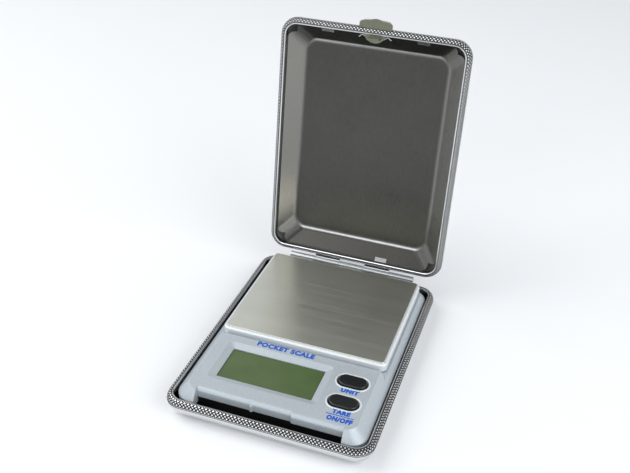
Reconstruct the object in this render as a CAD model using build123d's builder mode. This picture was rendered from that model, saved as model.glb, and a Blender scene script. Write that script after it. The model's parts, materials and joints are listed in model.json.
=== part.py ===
"""Pocket gram scale in a hinged metal case: two knurled-rim dishes, a clasp and a plastic scale module.

Frame: X to the right, Y towards the hinge, Z up.  The origin is the centre of the base's flat underside.
The lid stands open.  Its pieces are drawn on lid_plane, which lies on the lid's outer face with its
local Z pointing out of the lid's mouth and its local Y pointing to the lid's free edge.
"""
from build123d import *
import os
from math import cos, radians, sin

os.makedirs("parts", exist_ok=True)

# ------------------------------------------------------------------ case halves
case_length = 100.0
case_width = 76.0
half_depth = 8.6          # flat outer face to seam, each half
case_corner = 7.0         # plan radius of the outer corners
shell_sheet = 0.5
shell_turn = 6.0          # radius between a wall and the flat outer face
wall_inset = 0.4          # shell wall behind the rim's outer face
bead_height = 0.9         # polished bead on the wall, under the rim
seam_gap = 0.2
rim_width = 2.6
rim_height = 2.3
rim_outer_round = 1.0
rim_inner_round = 0.4
wall_tuck = 1.0           # wall height held in the rim's groove
groove_clearance = 0.02

# ------------------------------------------------------------------ hinge
lid_open_angle = 97.0
knuckle_radius = 1.35
hinge_gap = 0.25          # knuckles to the rim's back face
knuckle_length = 11.0
knuckle_gap = 0.2
knuckle_count = 5
leaf_depth = 1.9          # leaf's lower edge, from the seam
pin_radius = 0.55
pin_end_round = 0.25
running_clearance = 0.05

# ------------------------------------------------------------------ lid lining
liner_sheet = 0.3
liner_bend = 4.0
flap_run = 6.4            # flap width in plan, from the rim to the flat panel
flap_under_rim = 0.2      # flap edge behind the rim's inner face
flap_gap = 3.6            # plan clearance that leaves the dish corners bare
flap_end_round = 3.0
flap_corner = 6.0
clip_width = 5.0
clip_length = 1.4
clip_sheet = 0.25
clip_lift = 0.35          # clip above the flap
clip_spots = ((-19.0, 1), (19.0, 1), (12.0, -1))   # along X, and which long edge

# ------------------------------------------------------------------ clasp
clasp_sheet = 0.6
clasp_rise = 0.25         # clasp plate above the rim's lower edge
clasp_width = 13.0
clasp_reach = 2.8         # tab beyond the rim's outer face
clasp_travel = 0.8
clasp_slot_clearance = 0.1
clasp_bow = 0.6           # bulge of the tab's outer edge
clasp_corner = 1.2
clasp_lip = 1.5
tongue_radius = 4.6
tongue_reach = 3.2        # half-disc beyond the rim's inner face
hook_width = 5.0
hook_sheet = 0.5
hook_drop = 1.6           # hook below the seam when shut
hook_lip = 0.15
keeper_width = 15.0
keeper_reach = 0.65
keeper_sheet = 0.5
catch_clearance = 0.1
spring_wire = 0.2         # radius
spring_inset = 0.1        # spring's end inside the clasp's edge
spring_bow = 2.4
spring_bend = 0.5
spring_waves = ((3.2, 1.4), (5.0, 0.1))   # from the middle: along X, and away from the rim
spring_end_dip = 1.2

# ------------------------------------------------------------------ scale module, outside
felt_thickness = 0.3
foam_thickness = 0.7
foam_width = 8.0
foam_length = 16.0
foam_spread = 13.0        # pads ahead of and behind the platform's middle
front_foam_width = 4.0
front_foam_length = 12.0
foam_inset = 3.0
module_side_gap = 0.6     # to the rim's inner face, at the left and right
module_end_gap = 1.0      # the same at the front and back
module_corner = 6.0
module_slope_low = 7.3    # height where the sloping sides start
deck_height = 11.3
deck_side_run = 4.1       # plan width of the slope at each side
deck_front_run = 2.6
deck_length = 32.0
deck_corner = 4.0
deck_back_corner = 2.6
shoulder_height = 9.3
housing_wall = 1.4
parting_height = 4.6
tray_side_step = 1.3      # tray inside the housing's outer face
tray_end_step = 0.9
tray_corner = 5.0
tray_wall = 1.2
tray_floor = 1.0

# front of the module: two recesses over a dark gap
recess_left_block = 3.7   # deck left standing at the recess's left
recess_right_block = 3.8
recess_step = 8.2         # where the deep recess ends and the shallow one starts
recess_deep = 0.6         # face behind the deck's front edge
recess_shallow = -0.1
recess_edge_round = 1.5
gap_height = 7.5          # top of the dark gap
rib_x = -6.5
rib_radius = 0.6
black_wall_gap = 0.8      # dark wall behind the deep recess's face

# ------------------------------------------------------------------ display and keys
window_side_margin = 6.8  # window behind the deck's left edge
window_setback = 17.85    # window's middle behind the deck's front edge
window_width = 35.9
window_height = 15.9
window_corner = 0.4
bezel_flare = 2.6
bezel_depth = 1.0
bezel_corner = 2.0
glass_overlap = 1.2       # display glass beyond the window
glass_thickness = 1.5
glass_corner = 0.3
strip_depth = 1.6
strip_inset = 3.0
reflector_thickness = 0.2
frame_wall = 1.2
assembly_gap = 0.1
key_side_margin = 2.4     # key to the deck's right edge
unit_key_setback = 22.8
tare_key_setback = 11.9
key_length = 10.6
key_width = 5.7
key_clearance = 0.25
key_rise = 0.75
key_travel = 0.5
key_edge_round = 0.55
key_hole_chamfer = 0.45
flange_margin = 0.9
flange_thickness = 0.6
stem_radius = 1.5
stem_length = 0.3
plunger_radius = 1.0
plunger_tuck = 0.4        # plunger inside its switch
switch_size = 4.5

# ------------------------------------------------------------------ platform and load cell
platform_gap = 1.4        # platform behind the deck
platform_side_step = 0.75 # platform inside the shoulder's edge
platform_back_step = 2.2
platform_corner = 2.6
platform_top = 12.7
platform_wall = 1.2
platform_edge_round = 0.7
platform_travel = 0.3
skirt_clearance = 0.2     # left under the skirt when the platform is pressed
plate_thickness = 0.6
plate_margin = 1.0
plate_corner = 1.2
plate_edge = 0.15
cell_length = 44.0
cell_width = 10.0
cell_height = 4.0
cell_cover_gap = 0.2      # gauge coating to the housing above it
cell_screw_spacing = 6.0
cell_screw_inset = 4.0
cell_bore_radius = 1.5
cell_bore_spacing = 9.0
cell_slot_height = 0.8
boss_size = 12.0
boss_window_gap = 1.5
cell_screw_radius = 1.5
cell_head_radius = 2.5
cell_head_height = 0.8
gauge_coat_length = 12.0
gauge_coat_width = 8.0
gauge_coat_corner = 2.0
gauge_coat_height = 0.3
stop_radius = 1.5
stop_clearance = 0.15
thread_inset = 0.5        # screw's end inside the piece it holds

# ------------------------------------------------------------------ electronics
board_thickness = 1.0
board_left_margin = 1.2
board_right_margin = 3.7
board_front_margin = 7.8
board_back_margin = -0.3
board_gap = 0.45          # coin cells to the board
cell_radius = 10.0        # coin cell
cell_thickness = 3.2
coin_middle_x = -3.9
coin_gap = 1.2
coin_edge_round = 0.3
ring_wall = 2.0           # wall round each coin cell
ring_height = 2.4
door_margin = 1.0
door_clearance = 0.2
contact_width = 3.0
contact_sheet = 0.25
contact_length = 12.0
contact_foot = 2.0
contact_foot_y = 5.0      # foot behind the cell's middle
post_radius = 1.4
post_inset = 1.7
post_front_inset = 3.0
post_back_inset = 5.5
board_screw_radius = 0.6
board_screw_head = 1.3
board_screw_head_height = 0.7
chip_radius = 5.0
chip_height = 0.6
chip_round = 0.5
chip_part_length = 1.6
chip_part_width = 0.8
chip_part_height = 0.5
chip_part_pitch = 2.6
lead_radius = 0.3
lead_pitch = 0.8
lead_count = 4
lead_run = 2.6            # first lead beside the load cell
lead_drop = 1.5           # leads below the board
lead_bend = 0.9
lead_setback = 1.5        # solder joints ahead of the board's back edge

# ------------------------------------------------------------------ housing screws
screw_side_inset = 5.3
screw_front_inset = 5.3
screw_back_inset = 5.9
screw_radius = 0.9
screw_length = 4.6
screw_head_radius = 1.9
screw_head_height = 1.0
screw_boss_radius = 2.3
screw_head_clearance = 0.15
screw_pad = 0.7           # plastic under each screw head
screw_pad_radius = 2.9

# ------------------------------------------------------------------ worked out from the sizes above
half_length = case_length / 2
rim_top = half_depth - seam_gap / 2
rim_low = rim_top - rim_height
shell_width = case_width - 2 * wall_inset
shell_length = case_length - 2 * wall_inset
shell_corner = case_corner - wall_inset
inner_width = case_width - 2 * rim_width
inner_length = case_length - 2 * rim_width
inner_corner = case_corner - rim_width
hinge_offset = knuckle_radius + hinge_gap
hinge_y = half_length + hinge_offset
hinge_length = knuckle_count * knuckle_length
module_width = inner_width - 2 * module_side_gap
module_length = inner_length - 2 * module_end_gap
module_low = shell_sheet + felt_thickness + foam_thickness
floor_top = module_low + tray_floor
tray_width = module_width - 2 * tray_side_step
tray_length = module_length - 2 * tray_end_step
deck_width = module_width - 2 * deck_side_run
deck_front = deck_front_run - module_length / 2
deck_back = deck_front + deck_length
deck_under = deck_height - housing_wall
shoulder_under = shoulder_height - housing_wall
slope_share = (shoulder_height - module_slope_low) / (deck_height - module_slope_low)
shoulder_width = module_width + slope_share * (deck_width - module_width)
recess_left = recess_left_block - deck_width / 2
recess_right = deck_width / 2 - recess_right_block
recess_deep_face = deck_front + recess_deep
recess_shallow_face = deck_front + recess_shallow
black_wall_face = recess_deep_face + black_wall_gap
window_y = deck_front + window_setback
window_x = window_side_margin + window_width / 2 - deck_width / 2
key_x = deck_width / 2 - key_side_margin - key_length / 2
unit_key_y = deck_front + unit_key_setback
tare_key_y = deck_front + tare_key_setback
key_middle_y = (unit_key_y + tare_key_y) / 2
screw_x = module_width / 2 - screw_side_inset
screw_front = deck_front + screw_front_inset
screw_back = module_length / 2 - screw_back_inset
platform_front = deck_back + platform_gap
platform_length = module_length / 2 - platform_back_step - platform_front
platform_width = shoulder_width - 2 * platform_side_step
platform_y = platform_front + platform_length / 2
cell_top = shoulder_under - cell_cover_gap - gauge_coat_height
cell_low = cell_top - cell_height
cell_front = platform_y - cell_length / 2
cell_back = platform_y + cell_length / 2
cell_fixed_y = cell_front + cell_screw_inset + cell_screw_spacing / 2
cell_free_y = cell_back - cell_screw_inset - cell_screw_spacing / 2
coin_low = floor_top + running_clearance
coin_cell_y = window_y
coin_cell_x = (coin_middle_x - cell_radius - coin_gap / 2, coin_middle_x + cell_radius + coin_gap / 2)
board_low = coin_low + cell_thickness + board_gap
board_top = board_low + board_thickness
board_left = board_left_margin - deck_width / 2
board_right = deck_width / 2 - board_right_margin
board_front = deck_front + board_front_margin
board_back = deck_back - board_back_margin
post_x = board_left + post_inset
post_spots = (
    (key_x, key_middle_y),
    (post_x, board_back - post_back_inset),
    (post_x, board_front + post_front_inset),
)
glass_top = deck_under - assembly_gap
glass_low = glass_top - glass_thickness
glass_width = window_width + 2 * glass_overlap
glass_height = window_height + 2 * glass_overlap
flange_top = deck_under - assembly_gap
flange_low = flange_top - flange_thickness
plunger_top = flange_low - stem_length
switch_top = plunger_top - key_travel
key_top = deck_height + key_rise

# ------------------------------------------------------------------ planes
open_turn = radians(lid_open_angle)
lid_centre_y = hinge_y - hinge_y * cos(open_turn) + half_depth * sin(open_turn)
lid_centre_z = half_depth + hinge_y * sin(open_turn) + half_depth * cos(open_turn)
base_plane = Plane.XY
lid_plane = Plane(
    origin=(0, lid_centre_y, lid_centre_z),
    x_dir=(1, 0, 0),
    z_dir=(0, -sin(open_turn), -cos(open_turn)),
)


def side_plane(half, x):
    """Plane across a case half at local x; its sketch axes are the half's local Y and Z."""
    return Plane(origin=half.from_local_coords((x, 0, 0)), x_dir=half.y_dir, z_dir=half.x_dir)


def height_axis(half):
    """Axis that sorts a half's faces from its outer face to its mouth."""
    return Axis(half.origin, half.z_dir)


def save(builder, name):
    """Label one finished piece and write it."""
    builder.part.label = name
    export_step(builder.part, f"parts/{name}.step")


# ------------------------------------------------------------------ case halves
def make_shell(half):
    """Pressed steel dish with a polished bead round its wall."""
    with BuildPart() as shell:
        with BuildSketch(half):
            RectangleRounded(shell_width, shell_length, shell_corner)
        extrude(amount=rim_low + wall_tuck)
        outer_face = shell.faces().sort_by(height_axis(half))[0]
        fillet(outer_face.edges(), shell_turn)
        mouth = shell.faces().sort_by(height_axis(half))[-1]
        offset(amount=-shell_sheet, openings=mouth)
        with BuildSketch(half.offset(rim_low - bead_height)):
            RectangleRounded(case_width, case_length, case_corner)
            RectangleRounded(shell_width, shell_length, shell_corner, mode=Mode.SUBTRACT)
        extrude(amount=bead_height)
    return shell


def make_rim(half):
    """Rim bar with a groove that takes the shell's wall."""
    with BuildPart() as rim:
        with BuildSketch(half.offset(rim_low)):
            RectangleRounded(case_width, case_length, case_corner)
            RectangleRounded(inner_width, inner_length, inner_corner, mode=Mode.SUBTRACT)
        extrude(amount=rim_height)
        seam_face = rim.faces().sort_by(height_axis(half))[-1]
        fillet(seam_face.outer_wire().edges(), rim_outer_round)
        seam_face = rim.faces().sort_by(height_axis(half))[-1]
        fillet(seam_face.inner_wires()[0].edges(), rim_inner_round)
        groove = groove_clearance
        with BuildSketch(half.offset(rim_low)):
            RectangleRounded(shell_width + 2 * groove, shell_length + 2 * groove, shell_corner + groove)
            inset = shell_sheet + groove
            RectangleRounded(
                shell_width - 2 * inset, shell_length - 2 * inset, shell_corner - inset, mode=Mode.SUBTRACT
            )
        extrude(amount=wall_tuck + groove, mode=Mode.SUBTRACT)
    return rim


def make_knuckles(half, side, first, bore_radius):
    """Every second knuckle of the hinge, each with a leaf that meets the rim's outer face."""
    with BuildPart() as knuckles:
        for number in range(first, knuckle_count, 2):
            start = -hinge_length / 2 + number * knuckle_length + knuckle_gap / 2
            with BuildSketch(side_plane(half, start)):
                with Locations((side * hinge_y, half_depth)):
                    Circle(knuckle_radius)
                leaf_y = side * (half_length + hinge_offset / 2)
                leaf_height = leaf_depth - seam_gap
                with Locations((leaf_y, half_depth - seam_gap - leaf_height / 2)):
                    Rectangle(hinge_offset, leaf_height)
                with Locations((side * hinge_y, half_depth)):
                    Circle(bore_radius, mode=Mode.SUBTRACT)
            extrude(amount=knuckle_length - knuckle_gap)
    return knuckles


base_shell = make_shell(base_plane)
save(base_shell, "base_shell")

base_rim = make_rim(base_plane)
save(base_rim, "base_rim")

base_knuckles = make_knuckles(base_plane, 1, 0, pin_radius)
save(base_knuckles, "base_hinge_knuckles")

lid_knuckles = make_knuckles(lid_plane, -1, 1, pin_radius + running_clearance)
save(lid_knuckles, "lid_hinge_knuckles")

with BuildPart() as hinge_pin:
    with BuildSketch(side_plane(base_plane, -hinge_length / 2)):
        with Locations((hinge_y, half_depth)):
            Circle(pin_radius)
    extrude(amount=hinge_length)
    fillet(hinge_pin.edges().filter_by(GeomType.CIRCLE), pin_end_round)
save(hinge_pin, "hinge_pin")

# ------------------------------------------------------------------ clasp
clasp_low = rim_low + clasp_rise
clasp_plane = lid_plane.offset(clasp_low)
slot_length = 4 * rim_width
slot_height = clasp_sheet + 2 * clasp_slot_clearance
tongue_centre = half_length - rim_width - tongue_reach + tongue_radius
hook_y = half_length - rim_width - keeper_reach - catch_clearance - hook_lip
tab_edge = half_length + clasp_reach
tab_side = tab_edge - clasp_bow
lip_side = tab_side - clasp_sheet
tab_half = clasp_width / 2
plate_back = half_length - clasp_travel


def cut_clasp_slot(rim_or_shell):
    """Slot through the middle of the lid's free edge."""
    with BuildPart() as slotted:
        add(rim_or_shell.part)
        with BuildSketch(lid_plane.offset(clasp_low - clasp_slot_clearance)):
            with Locations((0, half_length)):
                Rectangle(clasp_width + 4 * clasp_slot_clearance, slot_length)
        extrude(amount=slot_height, mode=Mode.SUBTRACT)
    return slotted


lid_shell = cut_clasp_slot(make_shell(lid_plane))
save(lid_shell, "lid_shell")

lid_rim = cut_clasp_slot(make_rim(lid_plane))
save(lid_rim, "lid_rim")

with BuildPart() as clasp_tab:
    with BuildSketch(clasp_plane) as plate:
        with BuildLine():
            Line((-tab_half, plate_back), (-tab_half, tab_side))
            ThreePointArc((-tab_half, tab_side), (0, tab_edge), (tab_half, tab_side))
            Line((tab_half, tab_side), (tab_half, plate_back))
            Line((tab_half, plate_back), (-tab_half, plate_back))
        make_face()
        fillet(plate.vertices().group_by(Axis.Y)[-1], clasp_corner)
        with Locations((0, tongue_centre)):
            Circle(tongue_radius)
    extrude(amount=clasp_sheet)
    # grip lip, turned back along the tab's bowed edge
    with BuildSketch(clasp_plane.offset(-clasp_lip)):
        with BuildLine():
            ThreePointArc((-tab_half, tab_side), (0, tab_edge), (tab_half, tab_side))
            Line((tab_half, tab_side), (tab_half, lip_side))
            ThreePointArc((tab_half, lip_side), (0, tab_edge - clasp_sheet), (-tab_half, lip_side))
            Line((-tab_half, lip_side), (-tab_half, tab_side))
        make_face()
        with Locations((0, half_length)):
            Rectangle(clasp_width - 2 * clasp_corner, 4 * clasp_reach, mode=Mode.INTERSECT)
    extrude(amount=clasp_lip)
    # catch hook, which drops past the seam and turns out under the keeper
    hook_length = half_depth - clasp_low + hook_drop
    with BuildSketch(clasp_plane):
        with Locations((0, hook_y - hook_sheet / 2)):
            Rectangle(hook_width, hook_sheet)
    extrude(amount=hook_length)
    with BuildSketch(clasp_plane.offset(hook_length - hook_sheet)):
        with Locations((0, hook_y - (hook_sheet - hook_lip) / 2)):
            Rectangle(hook_width, hook_sheet + hook_lip)
    extrude(amount=hook_sheet)
save(clasp_tab, "clasp_tab")

spring_y = half_length - rim_width - spring_wire - 2 * running_clearance
spring_height = clasp_low - spring_wire - running_clearance
spring_half = spring_waves + ((tab_half - spring_inset, spring_end_dip),)
spring_route = [(-x, spring_y - dip) for x, dip in reversed(spring_half)]
spring_route += [(0, spring_y - spring_bow)]
spring_route += [(x, spring_y - dip) for x, dip in spring_half]
with BuildPart() as clasp_spring:
    with BuildLine(lid_plane.offset(spring_height)) as spring_path:
        FilletPolyline(*spring_route, radius=spring_bend)
    with BuildSketch(Plane(origin=spring_path.line @ 0, z_dir=spring_path.line % 0)):
        Circle(spring_wire)
    sweep(path=spring_path.line)
save(clasp_spring, "clasp_spring")

with BuildPart() as clasp_keeper:
    keeper_top = half_depth - hook_drop + hook_sheet + catch_clearance + keeper_sheet
    with BuildSketch(base_plane.offset(keeper_top - keeper_sheet)):
        with Locations((0, -(half_length - rim_width - keeper_reach / 2))):
            Rectangle(keeper_width, keeper_reach)
    extrude(amount=keeper_sheet)
    corners = clasp_keeper.edges().filter_by(Axis.Z).group_by(Axis.Y)[-1]
    fillet(corners, keeper_reach / 2)
save(clasp_keeper, "clasp_keeper")

# ------------------------------------------------------------------ lid lining
panel_low = shell_sheet
liner_width = inner_width + 2 * flap_under_rim
liner_length = inner_length + 2 * flap_under_rim
flap_slope = (rim_low - panel_low) / flap_run

def liner_block(low, inset):
    """Tapered block with a rounded floor, drawn inside the flaps' outer faces by inset."""
    floor_inset = flap_run - (low - panel_low) / flap_slope + inset
    with BuildPart() as block:
        with BuildSketch(lid_plane.offset(low)):
            RectangleRounded(
                liner_width - 2 * floor_inset, liner_length - 2 * floor_inset, flap_corner - inset
            )
        with BuildSketch(lid_plane.offset(rim_low)):
            RectangleRounded(liner_width - 2 * inset, liner_length - 2 * inset, flap_corner - inset)
        loft()
        floor_face = block.faces().sort_by(height_axis(lid_plane))[0]
        fillet(floor_face.edges(), liner_bend - inset)
    return block


liner_outside = liner_block(panel_low, 0)
liner_inside = liner_block(panel_low + liner_sheet, liner_sheet * (1 + flap_slope**-2) ** 0.5)
with BuildPart() as lid_liner:
    add(liner_outside.part)
    add(liner_inside.part, mode=Mode.SUBTRACT)
    # the corners are cut out, which leaves four flaps with rounded ends
    with BuildSketch(lid_plane):
        Rectangle(case_width, case_length)
        RectangleRounded(liner_width - 2 * flap_gap, liner_length, flap_end_round, mode=Mode.SUBTRACT)
        RectangleRounded(liner_width, liner_length - 2 * flap_gap, flap_end_round, mode=Mode.SUBTRACT)
    extrude(amount=half_depth, mode=Mode.SUBTRACT)
save(lid_liner, "lid_liner")

with BuildPart() as liner_clips:
    for clip_x, edge in clip_spots:
        clip_y = inner_length / 2 - assembly_gap
        clip_z = rim_low - assembly_gap * flap_slope
        drop = clip_length * flap_slope
        lift = liner_sheet * (1 + flap_slope**2) ** 0.5 + clip_lift
        with BuildSketch(side_plane(lid_plane, clip_x - clip_width / 2)):
            with BuildLine():
                Polyline(
                    (edge * clip_y, clip_z + lift),
                    (edge * (clip_y - clip_length), clip_z + lift - drop),
                    (edge * (clip_y - clip_length), clip_z + lift - drop + clip_sheet),
                    (edge * clip_y, clip_z + lift + clip_sheet),
                    close=True,
                )
            make_face()
        extrude(amount=clip_width)
save(liner_clips, "liner_clips")

# ------------------------------------------------------------------ what the module rests on
with BuildPart() as felt_pad:
    with BuildSketch(Plane.XY.offset(shell_sheet)):
        RectangleRounded(shell_width - 2 * shell_turn, shell_length - 2 * shell_turn, module_corner)
    extrude(amount=felt_thickness)
save(felt_pad, "felt_pad")

with BuildPart() as foam_pads:
    with BuildSketch(Plane.XY.offset(shell_sheet + felt_thickness)):
        with Locations((0, platform_y)):
            with GridLocations(tray_width - 2 * foam_inset - foam_width, 2 * foam_spread, 2, 2):
                Rectangle(foam_width, foam_length)
        with Locations((0, window_y)):
            with GridLocations(tray_width - 2 * foam_inset - front_foam_width, 0, 2, 1):
                Rectangle(front_foam_width, front_foam_length)
    extrude(amount=foam_thickness)
save(foam_pads, "foam_pads")

# ------------------------------------------------------------------ module housing
housing_screw_spots = [(x, y) for x in (-screw_x, screw_x) for y in (screw_front, screw_back)]
door_width = coin_cell_x[1] - coin_cell_x[0] + 2 * cell_radius + 2 * door_margin
door_length = 2 * cell_radius + 2 * door_margin
door_x = (coin_cell_x[0] + coin_cell_x[1]) / 2
boss_pad_top = module_low + screw_head_height + screw_head_clearance + screw_pad

with BuildPart() as housing_bottom:
    with BuildSketch(Plane.XY.offset(module_low)):
        RectangleRounded(tray_width, tray_length, tray_corner)
    extrude(amount=parting_height - module_low)
    with BuildSketch(Plane.XY.offset(floor_top)):
        RectangleRounded(tray_width - 2 * tray_wall, tray_length - 2 * tray_wall, tray_corner - tray_wall)
    extrude(amount=half_depth, mode=Mode.SUBTRACT)
    # dark wall behind the gap at the front
    gap_middle = (recess_left + recess_right) / 2
    gap_width = recess_right - recess_left
    with BuildSketch(Plane.XY.offset(module_low)):
        with Locations((gap_middle, black_wall_face + tray_wall / 2)):
            Rectangle(gap_width, tray_wall)
    extrude(amount=gap_height - assembly_gap - module_low)
    with BuildSketch(Plane.XY.offset(module_low)):
        with Locations((gap_middle, black_wall_face - half_depth)):
            Rectangle(gap_width, 2 * half_depth)
    extrude(amount=half_depth, mode=Mode.SUBTRACT)
    # screw pads, load-cell seat and coin-cell rings
    with BuildSketch(Plane.XY.offset(module_low)):
        with Locations(*housing_screw_spots):
            Circle(screw_pad_radius)
    extrude(amount=boss_pad_top - module_low)
    with BuildSketch(Plane.XY.offset(module_low)):
        with Locations((0, cell_fixed_y)):
            Rectangle(boss_size, boss_size)
    extrude(amount=cell_low - module_low)
    with BuildSketch(Plane.XY.offset(module_low)):
        with Locations(*[(x, coin_cell_y) for x in coin_cell_x]):
            Circle(cell_radius + ring_wall)
    extrude(amount=coin_low + ring_height - module_low)
    with BuildSketch(Plane.XY.offset(module_low)):
        with Locations(*[(x, coin_cell_y) for x in coin_cell_x]):
            Circle(cell_radius + assembly_gap)
        with Locations((door_x, coin_cell_y)):
            Rectangle(door_width, door_length)
    extrude(amount=tray_floor, mode=Mode.SUBTRACT)
    with BuildSketch(Plane.XY.offset(floor_top)):
        with Locations(*[(x, coin_cell_y) for x in coin_cell_x]):
            Circle(cell_radius + assembly_gap)
    extrude(amount=cell_thickness, mode=Mode.SUBTRACT)
    # screw holes, from below
    underside = Plane.XY.offset(module_low).rotated((180, 0, 0))
    with Locations(underside):
        with Locations(*[(x, -y) for x, y in housing_screw_spots]):
            CounterBoreHole(
                screw_radius,
                screw_head_radius + screw_head_clearance,
                screw_head_height + screw_head_clearance,
                depth=half_depth,
            )
        half_spacing = cell_screw_spacing / 2
        with Locations((0, -cell_fixed_y - half_spacing), (0, -cell_fixed_y + half_spacing)):
            CounterBoreHole(
                cell_screw_radius, cell_head_radius + screw_head_clearance, cell_head_height, depth=half_depth
            )
save(housing_bottom, "housing_bottom")

def make_recess(left, right, face):
    """Cutter for a recess in the module's front: its face rolls over into the deck."""
    with BuildPart() as recess:
        with BuildSketch(side_plane(base_plane, left)):
            with BuildLine():
                Polyline(
                    (face + recess_edge_round, deck_height),
                    (face + recess_edge_round, half_depth + deck_height),
                    (-case_length, half_depth + deck_height),
                    (-case_length, parting_height),
                    (face, parting_height),
                    (face, deck_height - recess_edge_round),
                )
                RadiusArc(
                    (face, deck_height - recess_edge_round),
                    (face + recess_edge_round, deck_height),
                    recess_edge_round,
                )
            make_face()
        extrude(amount=right - left)
    return recess


deep_recess = make_recess(recess_left, recess_step, recess_deep_face)
shallow_recess = make_recess(recess_step, recess_right, recess_shallow_face)

with BuildPart() as housing_top:
    with BuildSketch(Plane.XY.offset(parting_height)):
        RectangleRounded(module_width, module_length, module_corner)
    extrude(amount=module_slope_low - parting_height)
    with BuildSketch(Plane.XY.offset(module_slope_low)):
        RectangleRounded(module_width, module_length, module_corner)
    with BuildSketch(Plane.XY.offset(deck_height)):
        RectangleRounded(deck_width, -2 * deck_front, deck_corner)
    loft()
    # the rear part is cut down to the shoulder, round the deck's back corners
    with BuildSketch(Plane.XY.offset(shoulder_height)):
        with Locations((0, deck_back - deck_back_corner + half_length)):
            Rectangle(case_width, case_length)
        with Locations((0, deck_back - half_length)):
            RectangleRounded(shoulder_width, case_length, deck_back_corner, mode=Mode.SUBTRACT)
    extrude(amount=half_depth, mode=Mode.SUBTRACT)
    # hollow under the shoulder, and under the deck
    with BuildSketch(Plane.XY.offset(parting_height)):
        with Locations((0, (recess_deep_face + housing_wall + module_length / 2 - housing_wall) / 2)):
            RectangleRounded(
                module_width - 2 * housing_wall,
                module_length / 2 - 2 * housing_wall - recess_deep_face,
                module_corner - housing_wall,
            )
    extrude(amount=shoulder_under - parting_height, mode=Mode.SUBTRACT)
    deck_front_inner = recess_deep_face + housing_wall
    deck_back_inner = deck_back - housing_wall
    with BuildSketch(Plane.XY.offset(parting_height)):
        with Locations((0, (deck_front_inner + deck_back_inner) / 2)):
            RectangleRounded(deck_width - housing_wall, deck_back_inner - deck_front_inner, 2 * housing_wall)
    extrude(amount=deck_under - parting_height, mode=Mode.SUBTRACT)
    # recesses in the front face, then the gap below them
    add(deep_recess.part, mode=Mode.SUBTRACT)
    add(shallow_recess.part, mode=Mode.SUBTRACT)
    with BuildSketch(Plane.XY.offset(parting_height)):
        with Locations(((recess_left + recess_right) / 2, recess_deep_face)):
            Rectangle(recess_right - recess_left, 4 * housing_wall)
    extrude(amount=gap_height - parting_height, mode=Mode.SUBTRACT)
    # upright rib in the deep recess
    with BuildSketch(Plane.XY.offset(gap_height)):
        with Locations((rib_x, recess_deep_face)):
            Circle(rib_radius)
    extrude(amount=deck_height - gap_height - recess_edge_round)
    # display window with a flared bezel
    with BuildSketch(Plane.XY.offset(deck_height)):
        with Locations((window_x, window_y)):
            RectangleRounded(window_width + 2 * bezel_flare, window_height + 2 * bezel_flare, bezel_corner)
    with BuildSketch(Plane.XY.offset(deck_height - bezel_depth)):
        with Locations((window_x, window_y)):
            RectangleRounded(window_width, window_height, window_corner)
    loft(mode=Mode.SUBTRACT)
    with BuildSketch(Plane.XY.offset(deck_under)):
        with Locations((window_x, window_y)):
            RectangleRounded(window_width, window_height, window_corner)
    extrude(amount=housing_wall, mode=Mode.SUBTRACT)
    # key holes with a chamfered mouth
    hole_length = key_length + 2 * key_clearance
    hole_width = key_width + 2 * key_clearance
    with BuildSketch(Plane.XY.offset(deck_under)):
        with Locations((key_x, unit_key_y), (key_x, tare_key_y)):
            SlotOverall(hole_length, hole_width)
    extrude(amount=housing_wall, mode=Mode.SUBTRACT)
    for hole_y in (unit_key_y, tare_key_y):
        with BuildSketch(Plane.XY.offset(deck_height - key_hole_chamfer)):
            with Locations((key_x, hole_y)):
                SlotOverall(hole_length, hole_width)
        with BuildSketch(Plane.XY.offset(deck_height)):
            with Locations((key_x, hole_y)):
                SlotOverall(hole_length + 2 * key_hole_chamfer, hole_width + 2 * key_hole_chamfer)
        loft(mode=Mode.SUBTRACT)
    # opening for the platform's boss
    with BuildSketch(Plane.XY.offset(shoulder_under)):
        with Locations((0, cell_free_y)):
            Rectangle(boss_size + 2 * boss_window_gap, boss_size + 2 * boss_window_gap)
    extrude(amount=housing_wall, mode=Mode.SUBTRACT)
    # screw bosses and board posts
    with BuildSketch(Plane.XY.offset(boss_pad_top)):
        with Locations((-screw_x, screw_front), (screw_x, screw_front)):
            Circle(screw_boss_radius)
    extrude(amount=deck_under - boss_pad_top)
    with BuildSketch(Plane.XY.offset(boss_pad_top)):
        with Locations((-screw_x, screw_back), (screw_x, screw_back)):
            Circle(screw_boss_radius)
    extrude(amount=shoulder_under - boss_pad_top)
    with BuildSketch(Plane.XY.offset(boss_pad_top)):
        with Locations(*housing_screw_spots):
            Circle(screw_radius)
    extrude(amount=screw_length, mode=Mode.SUBTRACT)
    with BuildSketch(Plane.XY.offset(board_top)):
        with Locations(*post_spots):
            Circle(post_radius)
    extrude(amount=deck_under - board_top)
    with BuildSketch(Plane.XY.offset(board_top)):
        with Locations(*post_spots):
            Circle(board_screw_radius)
    extrude(amount=housing_wall, mode=Mode.SUBTRACT)
save(housing_top, "housing_top")

with BuildPart() as battery_door:
    with BuildSketch(Plane.XY.offset(module_low)):
        with Locations((door_x, coin_cell_y)):
            Rectangle(door_width - 2 * door_clearance, door_length - 2 * door_clearance)
    extrude(amount=tray_floor)
    fillet(battery_door.edges().filter_by(Axis.Z), 2 * door_clearance)
save(battery_door, "battery_door")

with BuildPart() as housing_screws:
    with BuildSketch(Plane.XY.offset(module_low + assembly_gap)):
        with Locations(*housing_screw_spots):
            Circle(screw_head_radius)
    extrude(amount=screw_head_height + screw_head_clearance - assembly_gap)
    with BuildSketch(Plane.XY.offset(module_low + screw_head_height + screw_head_clearance)):
        with Locations(*housing_screw_spots):
            Circle(screw_radius)
    extrude(amount=screw_length)
save(housing_screws, "housing_screws")

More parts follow.
